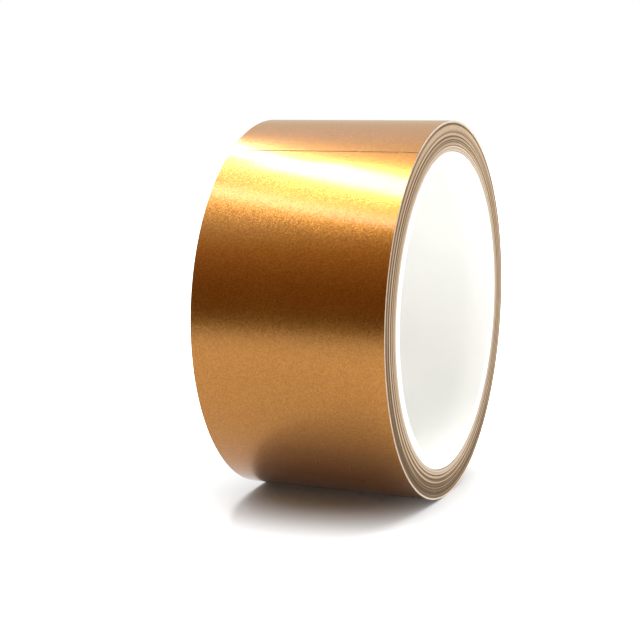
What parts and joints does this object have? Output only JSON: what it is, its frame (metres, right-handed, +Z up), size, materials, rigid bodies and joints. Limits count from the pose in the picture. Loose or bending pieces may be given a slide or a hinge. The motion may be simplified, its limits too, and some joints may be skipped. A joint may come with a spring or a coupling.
{
  "type": "copper foil tape roll",
  "caption": "Roll of wide self-adhesive copper foil tape on a white tube core, standing on its tread, with a free end that lifts and peels from its paper liner.",
  "frame": {"origin": "on the floor, under the middle of the roll", "axes": "+X along the roll's axis, out of the end face that is seen; +Z up; the tape's free end is on the -Y side of the top"},
  "size_m": [0.05, 0.0976, 0.0978],
  "materials": {
    "core": "smooth white, satin",
    "starter_glue": "clear double-sided strip",
    "leader_paper": "cream paper edges",
    "liner_paper": "silicone-coated paper, satin",
    "adhesive": "clear amber coat",
    "copper_foil": "polished copper with a fine metallic flake"
  },
  "bodies": {
    "roll": {"core_tube": "core", "starter_strip": "starter_glue", "leader_wrap": "leader_paper", "liner_winding": "liner_paper", "adhesive_winding": "adhesive", "foil_winding": "copper_foil"},
    "liner_end": {"liner_tab": "liner_paper"},
    "foil_end": {"adhesive_tab": "adhesive", "foil_tab": "copper_foil"}
  },
  "joints": [
    {"name": "end_lift", "type": "hinge", "parent": "roll", "child": "liner_end", "pos_m": [0, 0.01124, 0.09633], "axis": [-1, 0, 0], "range_deg": [0, 70]},
    {"name": "foil_peel", "type": "hinge", "parent": "liner_end", "child": "foil_end", "pos_m": [0, 0.01124, 0.09633], "axis": [-1, 0, 0], "range_deg": [0, 60]}
  ]
}
